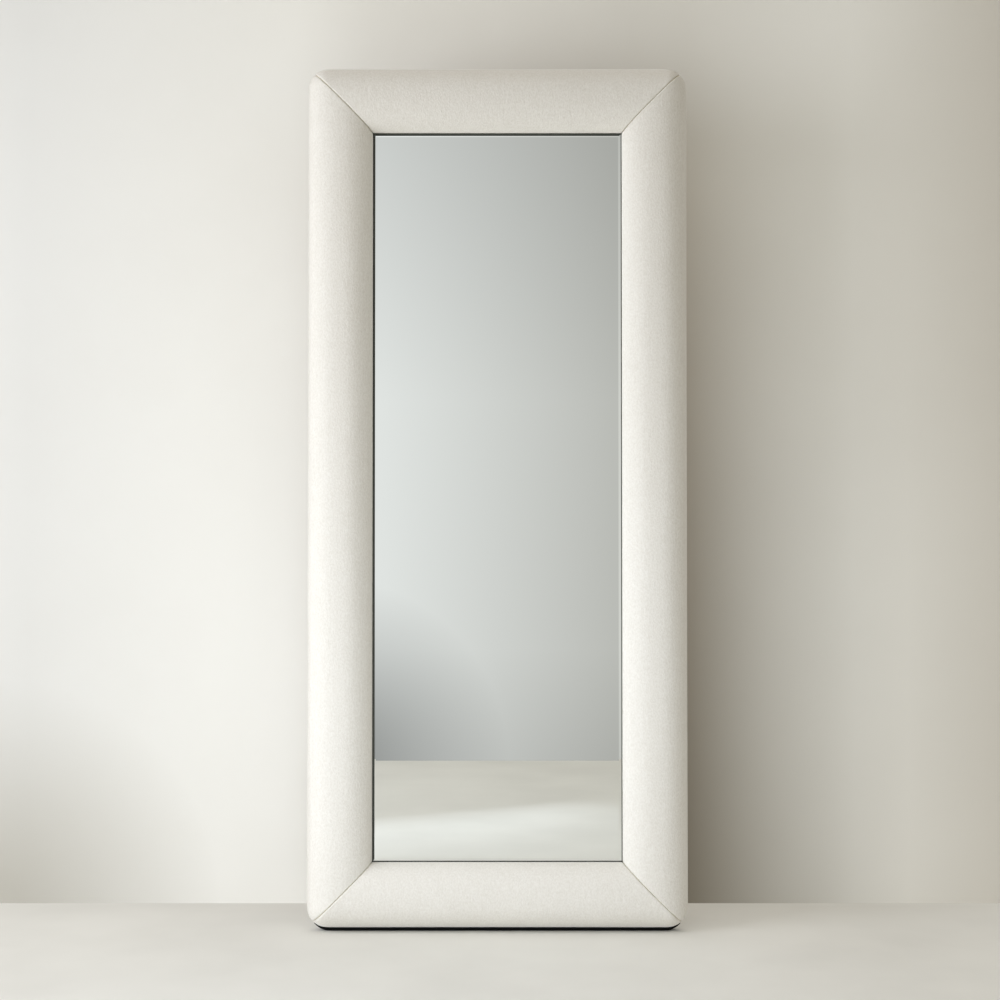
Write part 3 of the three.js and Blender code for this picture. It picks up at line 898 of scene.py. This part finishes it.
class MIRROR_OT_rubber(bpy.types.Operator):
    """Finish the rubber base and the wall bumpers"""

    bl_idname = "mirror.rubber"
    bl_label = "Rubber base and bumpers"

    def execute(self, context):
        rubber = shared_material("rubber", moulded_rubber)
        dress_cad_node("base_strip", rubber)
        for hand in HANDS:
            dress_cad_node(f"wall_bumper_{hand}", rubber)
        return {"FINISHED"}


def swept_tube(path, radius, sides=14):
    """A closed tube along a closed path that lies in a plane of constant Y."""
    along = np.roll(path, -1, axis=0) - np.roll(path, 1, axis=0)
    along /= np.linalg.norm(along, axis=1)[:, None]
    outwards = np.column_stack([along[:, 2], np.zeros(len(path)), -along[:, 0]])
    angles = np.linspace(0, 2 * math.pi, sides + 1)
    rings = (
        path[:, None]
        + radius * np.cos(angles)[None, :, None] * outwards[:, None]
        + radius * np.sin(angles)[None, :, None] * np.array([0, 1, 0])
    )
    made = grid_piece(np.concatenate([rings, rings[:1]]))
    tidy_mesh(made)
    return made


class MIRROR_OT_rings(bpy.types.Operator):
    """Bend the two D-shaped hanging rings"""

    bl_idname = "mirror.rings"
    bl_label = "Hanging rings"

    def execute(self, context):
        zinc = shared_material("zinc", bright_zinc)
        for hand in HANDS:
            name = f"hanger_ring_{hand}"
            low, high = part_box(name)
            wire = (high.y - low.y) / 2
            half = (high.x - low.x) / 2 - wire
            top, corner = high.z - wire, 3 * MM
            lower = low.z + wire + half
            bend = arc(0, lower, half, 180, 360, 28)
            right = arc(half - corner, top - corner, corner, 0, 90, 6)
            left = arc(corner - half, top - corner, corner, 90, 180, 6)
            loop = np.concatenate([bend, right, left])
            middle = (low.x + high.x) / 2
            path = np.column_stack(
                [loop[:, 0] + middle, np.full(len(loop), (low.y + high.y) / 2), loop[:, 1]]
            )
            piece = swept_tube(path, wire)
            settle(piece, f"d_ring_{hand}", f"ring_{hand}", zinc, [name], 60)
        return {"FINISHED"}


def model_screw():
    """A pan-head screw with a cross recess. Its head's underside is at the origin and its point is
    towards the front."""
    radius, shank = SCREW_HEAD_RADIUS, SCREW_SHANK_RADIUS
    deselect_everything()
    bpy.ops.mesh.primitive_cylinder_add(
        vertices=28, radius=radius, depth=0.9 * MM, location=(0, 0, 0.45 * MM)
    )
    screw = bpy.context.object
    edit_faces(screw, lambda face: face.normal.z > 0.9)
    for inwards, up in ((0.35, 0.45), (0.7, 0.45), (0.9, 0.3), (1.0, 0.15)):
        bpy.ops.mesh.inset(thickness=inwards * MM)
        bpy.ops.transform.translate(value=(0, 0, up * MM))
    bpy.ops.mesh.select_all(action="DESELECT")
    leave_edit_mode()
    edit_faces(screw, lambda face: face.normal.z < -0.9)
    bpy.ops.mesh.inset(thickness=radius - shank)
    for part in (SCREW_SHANK_LENGTH, SCREW_POINT_LENGTH):
        bpy.ops.mesh.extrude_region_move(TRANSFORM_OT_translate={"value": (0, 0, -part)})
    bpy.ops.transform.resize(value=(0.05, 0.05, 1))
    leave_edit_mode()
    for turn in (0, math.pi / 2):
        deselect_everything()
        bpy.ops.mesh.primitive_cube_add(size=1, location=(0, 0, 2.1 * MM), rotation=(0, 0, turn))
        slot = bpy.context.object
        slot.scale = (4.6 * MM, 0.9 * MM, 2.6 * MM)
        apply_place()
        edit_faces(slot, lambda face: face.normal.z < -0.9)
        bpy.ops.transform.resize(value=(0.45, 0.45, 1), center_override=(0, 0, 0.8 * MM))
        leave_edit_mode()
        apply_modifier(screw, "BOOLEAN", operation="DIFFERENCE", object=slot, solver="EXACT")
        discard(slot)
    tidy_mesh(screw, merge=0.005 * MM)
    return screw


class MIRROR_OT_hardware(bpy.types.Operator):
    """Plate the corner plates, hanger straps and turn buttons, and drive the screws"""

    bl_idname = "mirror.hardware"
    bl_label = "Hardware"

    def execute(self, context):
        zinc = shared_material("zinc", bright_zinc)
        yellow = shared_material("yellow zinc", yellow_zinc)
        plated = ("corner_plate", "hanger_strap", "turn_button")
        names = [n for n in frame["nodes"] if n.startswith(plated)]
        for name in names:
            dress_cad_node(name, zinc)
        model = model_screw()
        driven = [n for n in frame["nodes"] if "_screw_" in n]
        for turn, name in enumerate(sorted(driven)):
            low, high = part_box(name)
            seat = high.y - SCREW_HEAD_HEIGHT
            place = Matrix.Translation(((low.x + high.x) / 2, seat, (low.z + high.z) / 2))
            spin = Matrix.Rotation(-math.pi / 2, 4, "X") @ Matrix.Rotation(turn * 2.4, 4, "Z")
            body = body_holding(name)
            screw = copy_piece(model, place @ spin)
            settle(screw, f"driven_{name}", body, yellow, [name], 35)
        discard(model)
        return {"FINISHED"}


def body_holding(name):
    """The body that a CAD node belongs to."""
    return next(body for body, nodes in BODY_NODES.items() if name in nodes)


class MIRROR_OT_dust_strips(bpy.types.Operator):
    """Lay the black strips over the cloth's raw edges and staple them"""

    bl_idname = "mirror.dust_strips"
    bl_label = "Dust strips"

    def execute(self, context):
        settings, padding = context.scene.mirror_back, context.scene.mirror_padding
        material = shared_material("dust", spunbonded_cloth)
        wire = shared_material("zinc", bright_zinc)
        high, low = COVER_REAR - GAP, WOOD_BACK - GAP
        step = padding.rear_return + GAP
        outer, inner = settings.strip_outer, settings.strip_inner
        line = np.array([[outer, high], [step, high], [step + 4.7 * MM, low], [inner, low]])
        line = respaced(line, 23)
        for side in SIDES:
            along = stations(side, 14 * MM, 4 * MM)
            points = border_grid(side, line, along, padding)
            rows = np.arange(len(points))[:, None]
            ripple = 0.18 * MM * np.sin(rows * 1.7) * np.sin(np.linspace(0.3, 5.5, len(line)))[None, :]
            points[..., 1] += np.abs(ripple)
            strip = grid_piece(points)
            apply_modifier(strip, "SOLIDIFY", thickness=settings.strip_thickness, offset=1.0)
            settle(strip, f"dust_strip_{side}", BODY, material, ["dust_cover"], 50)
            run = SIDES[side][1]
            self.staple(side, run, settings, padding, wire, high, low)
        return {"FINISHED"}

    def staple(self, side, run, settings, padding, material, high, low):
        """Staples along both edges of a strip, joined into one piece."""
        pattern = model_staple()
        made = []
        turn = SIDES[side][0]
        outer, inner = settings.strip_outer + 5 * MM, settings.strip_inner - 4 * MM
        for inset, rise in ((outer, high), (inner, low)):
            reach = run / 2 - inset - 34 * MM
            count = round(2 * reach / settings.staple_spacing)
            for k in range(count + 1):
                x = -reach + 2 * reach * k / count
                wobble = Matrix.Rotation(0.12 * math.sin(k * 5.1 + inset * 900), 4, "Y")
                level = rise - settings.strip_thickness - 0.1 * MM
                here = Matrix.Translation((x, REAR_Y - level, inset - SIDES[side][2]))
                about = Matrix.Translation((0, 0, MIDDLE_Z)) @ Matrix.Rotation(turn, 4, "Y")
                made.append(copy_piece(pattern, about @ here @ wobble))
        discard(pattern)
        deselect_everything()
        for piece in made:
            piece.select_set(True)
        bpy.context.view_layer.objects.active = made[0]
        bpy.ops.object.join()
        settle(made[0], f"staples_{side}", BODY, material, smooth=40)


def model_staple():
    """The crown of a staple, lying along X with its wire's back towards +Y."""
    deselect_everything()
    bpy.ops.mesh.primitive_cube_add(size=1)
    made = bpy.context.object
    made.scale = (9 * MM, 0.6 * MM, 1.1 * MM)
    apply_place()
    for hand in HANDS.values():
        edit_faces(made, lambda face: face.normal.x * hand > 0.9)
        bend = (0.6 * hand * MM, -0.4 * MM, 0)
        bpy.ops.mesh.extrude_region_move(TRANSFORM_OT_translate={"value": bend})
        leave_edit_mode()
    apply_modifier(made, "BEVEL", width=0.25 * MM, segments=1)
    return made


# ---------------------------------------------------------------- stage


def pale_floor(settings):
    """Smooth pale screed, sealed and matt, with faint clouds."""
    made, tree, place = new_material("Sealed pale screed")
    clouds = speckle(tree, place, (0.35,) * 3, 3.0)
    base = rgba(settings.floor_colour)
    shade = blend_colours(tree, levels(tree, clouds, 0.35, 0.65), linear("#E6E5DF"), base)
    bump = bumps(tree, clouds, 0.2, 0.5 * MM)
    return principled(made, Base_Color=shade, Roughness=0.75, Normal=bump)


def plane(name, size, location, rotation=(0, 0, 0)):
    deselect_everything()
    bpy.ops.mesh.primitive_plane_add(size=1, location=location, rotation=rotation)
    made = bpy.context.object
    made.scale = (*size, 1)
    apply_place()
    made.name = name
    return made


def distance_from(tree, place, point):
    operation = {"operation": "DISTANCE"}
    return add_node(tree, "VectorMath", operation, _0=place, _1=point).outputs["Value"]


def make_wall(settings, wall_y):
    """A wall that shows only from its front, so that the mirror's back can be looked at, and that
    takes no light from what is in front of it. Its paint carries painted shade: darker by the
    window to tone its light down, darker at the far right, a painted shadow of the mirror to its
    right, most of all low down, and a painted shade at the far left foot."""
    wall = plane("wall", (30, 12), (0, wall_y, 6), (math.pi / 2, 0, 0))
    made, tree, place = new_material("Plaster wall with painted shade")
    parts = add_node(tree, "SeparateXYZ", Vector=place)
    sideways, height = parts.outputs["X"], parts.outputs["Z"]
    patches = speckle(tree, place, (0.5,) * 3, 3.0)
    # Painted shade: the plaster is painted darker towards the window on the left, and again at the far
    # right, to even out how the light falls.
    window, far = rgba(settings.window_side_shaded_wall_colour), rgba(settings.far_wall_colour)
    shade = blend_colours(tree, levels(tree, sideways, -1.05, -0.45), window, far)
    shade = blend_colours(tree, levels(tree, sideways, 0.8, 1.15), shade, linear("#E2DDD2"))
    shade = blend_colours(tree, levels(tree, patches, 0.35, 0.65, 0.0, 0.06), shade, linear("#B4ADA0"))
    # Painted shadow of the mirror: grey-brown on the wall to its right, strongest low down and fading
    # outwards.
    fading = levels(tree, sideways, 0.42, 0.92, 1.0, 0.0)
    beside_mirror_shadow = product(tree, levels(tree, sideways, 0, 0.3), fading)
    painted_mirror_shadow = product(tree, beside_mirror_shadow, levels(tree, height, 0.0, 1.6, 0.72, 0.08))
    shade = blend_colours(tree, painted_mirror_shadow, shade, linear("#6B604A"))
    # Painted shade at the foot of the wall, far to the left.
    apart = distance_from(tree, place, (-1.12, wall_y, 0))
    shade = blend_colours(tree, levels(tree, apart, 0.05, 0.5, 0.55, 0.0), shade, linear("#A09A88"))
    plaster = add_node(tree, "BsdfPrincipled", Base_Color=shade, Roughness=0.8)
    behind = add_node(tree, "NewGeometry").outputs["Backfacing"]
    clear = add_node(tree, "BsdfTransparent").outputs["BSDF"]
    both = add_node(tree, "MixShader", _0=behind, _1=plaster.outputs["BSDF"], _2=clear)
    finish_material(made, both)
    wall.data.materials.append(made)
    wall.visible_diffuse = wall.visible_shadow = wall.visible_glossy = False


def make_glowing_reflection_card(settings):
    """A glowing card in place of the wall opposite, which only the glass and the metal see: its glow
    is a painted reflection of the room, bright on the left, where the window is, darker to the
    right, above and in the far corner by the floor, and brighter again far to the right and high
    up, which gives the glass's bevel its bright line."""
    y = REAR_Y - GLASS_FRONT - settings.card_distance
    card = plane("opposite_wall", (12, 5), (0, y, 2.5), (-math.pi / 2, 0, 0))
    made, tree, place = new_material("Opposite wall")
    parts = add_node(tree, "SeparateXYZ", Vector=place)
    sideways, height = parts.outputs["X"], parts.outputs["Z"]
    # Painted reflection of the window light: bright on the left, greyer to the right.
    turning = levels(tree, sideways, -0.42, 0.42)
    shade = blend_colours(tree, turning, linear("#EEF0EF"), linear("#C6C6C2"))
    corner = distance_from(tree, place, (-0.62, y, 0.0))
    # Painted shade above and in the far corner; painted highlights far to the right and high up that give
    # the glass's bevel its bright line.
    painted_light_factors = (
        levels(tree, height, 1.3, 2.4, 1.0, 0.76),
        levels(tree, height, 0.0, 0.4, 0.85, 1.0),
        levels(tree, corner, 0.1, 0.66, 0.43, 1.0),
        levels(tree, sideways, 0.5, 0.62, 1.0, 1.25),
        levels(tree, height, 2.42, 2.55, 1.0, 1.5),
    )
    strength = painted_light_factors[0]
    for factor in painted_light_factors[1:]:
        strength = product(tree, strength, factor)
    # The card glows though it is no lamp: its glow is the painted reflection.
    shader = add_node(tree, "Emission", Color=shade, Strength=strength)
    finish_material(made, shader)
    card.data.materials.append(made)
    card.visible_camera = card.visible_diffuse = card.visible_shadow = False
    card.visible_transmission = False


def make_sky(settings):
    """Soft light from all round the room, stronger from above."""
    world = bpy.data.worlds.new("Pale room")
    world.use_nodes = True
    tree = world.node_tree
    way = add_node(tree, "TexCoord").outputs["Generated"]
    up = add_node(tree, "SeparateXYZ", Vector=way).outputs["Z"]
    strength = levels(tree, up, 0.1, 0.9, settings.fill_strength, settings.sky_strength)
    background = tree.nodes["Background"]
    background.inputs["Color"].default_value = linear("#FFFAF0")
    tree.links.new(strength, background.inputs["Strength"])
    return world


def area_light(name, location, target, size, power, tint="#FFFFFF"):
    deselect_everything()
    bpy.ops.object.light_add(type="AREA", location=location)
    made = bpy.context.object
    made.name = name
    made.data.shape = "RECTANGLE"
    made.data.size, made.data.size_y = size
    made.data.energy = power
    made.data.color = linear(tint)[:3]
    aim = Vector(target) - Vector(location)
    made.rotation_euler = aim.to_track_quat("-Z", "Y").to_euler()
    return made


class MIRROR_OT_stage(bpy.types.Operator):
    """Set up the pale room, its light and the camera"""

    bl_idname = "mirror.stage"
    bl_label = "Stage, light and camera"

    def execute(self, context):
        settings = context.scene.mirror_stage
        scene = context.scene
        floor = plane("floor", (30, 30), (0, 0, 0))
        floor.data.materials.append(pale_floor(settings))
        make_wall(settings, REAR_Y + settings.wall_distance)
        make_glowing_reflection_card(settings)

        scene.world = make_sky(settings)
        power = settings.key_power
        area_light("window_light", (-2.8, -1.5, 1.45), (0, 0, 0.85), (1.8, 1.9), power, "#EFF3FC")
        place, aim, watts = (-0.4, -1.5, 0.24), (0.4, 0, 0.6), 4.5
        glow = area_light("floor_glow", place, aim, (1.3, 0.3), watts, "#E6F1FF")
        glow.data.spread = math.radians(120)
        glow.visible_glossy = glow.visible_camera = False

        middle = Vector((0, 0, (CAD_BOX[0].z + CAD_BOX[1].z) / 2))
        tilt = settings.eye_tilt
        away = Vector((0, -math.cos(tilt), -math.sin(tilt))) * settings.eye_distance
        deselect_everything()
        bpy.ops.object.camera_add(location=middle + away)
        camera = bpy.context.object
        camera.rotation_euler = (-away).to_track_quat("-Z", "Y").to_euler()
        camera.data.lens = settings.lens
        camera.data.shift_x, camera.data.shift_y = LENS_SHIFT
        camera.data.clip_end = 100
        scene.camera = camera
        scene.view_settings.view_transform = "Standard"
        return {"FINISHED"}


# ---------------------------------------------------------------- panel and main


STEPS = (
    "mirror.foam_pads",
    "mirror.covers",
    "mirror.frame",
    "mirror.glass",
    "mirror.glazing_tape",
    "mirror.dust_strips",
    "mirror.rubber",
    "mirror.hardware",
    "mirror.rings",
    "mirror.stage",
)


class MIRROR_PT_panel(bpy.types.Panel):
    """Lists the mirror's pieces in the sidebar"""

    bl_label = "Floor mirror"
    bl_idname = "MIRROR_PT_panel"
    bl_space_type = "VIEW_3D"
    bl_region_type = "UI"
    bl_category = "Floor mirror"

    def draw(self, context):
        for step in STEPS:
            self.layout.operator(step)
        for group in (getattr(context.scene, name) for name in SETTINGS):
            box = self.layout.box()
            for name in group.bl_rna.properties.keys():
                if name not in ("rna_type", "name"):
                    box.prop(group, name)


SETTINGS = {
    "mirror_padding": MirrorPaddingSettings,
    "mirror_back": MirrorBackSettings,
    "mirror_stage": MirrorStageSettings,
}
CLASSES = (
    *SETTINGS.values(),
    MIRROR_OT_foam_pads,
    MIRROR_OT_covers,
    MIRROR_OT_frame,
    MIRROR_OT_glass,
    MIRROR_OT_glazing_tape,
    MIRROR_OT_dust_strips,
    MIRROR_OT_rubber,
    MIRROR_OT_hardware,
    MIRROR_OT_rings,
    MIRROR_OT_stage,
    MIRROR_PT_panel,
)


def register():
    for made in CLASSES:
        bpy.utils.register_class(made)
    for name, made in SETTINGS.items():
        setattr(bpy.types.Scene, name, PointerProperty(type=made))


def unregister():
    for name in SETTINGS:
        delattr(bpy.types.Scene, name)
    for made in reversed(CLASSES):
        bpy.utils.unregister_class(made)


def main():
    register()
    for step in STEPS:
        group, name = step.split(".")
        getattr(getattr(bpy.ops, group), name)()


if __name__ == "__main__":
    main()
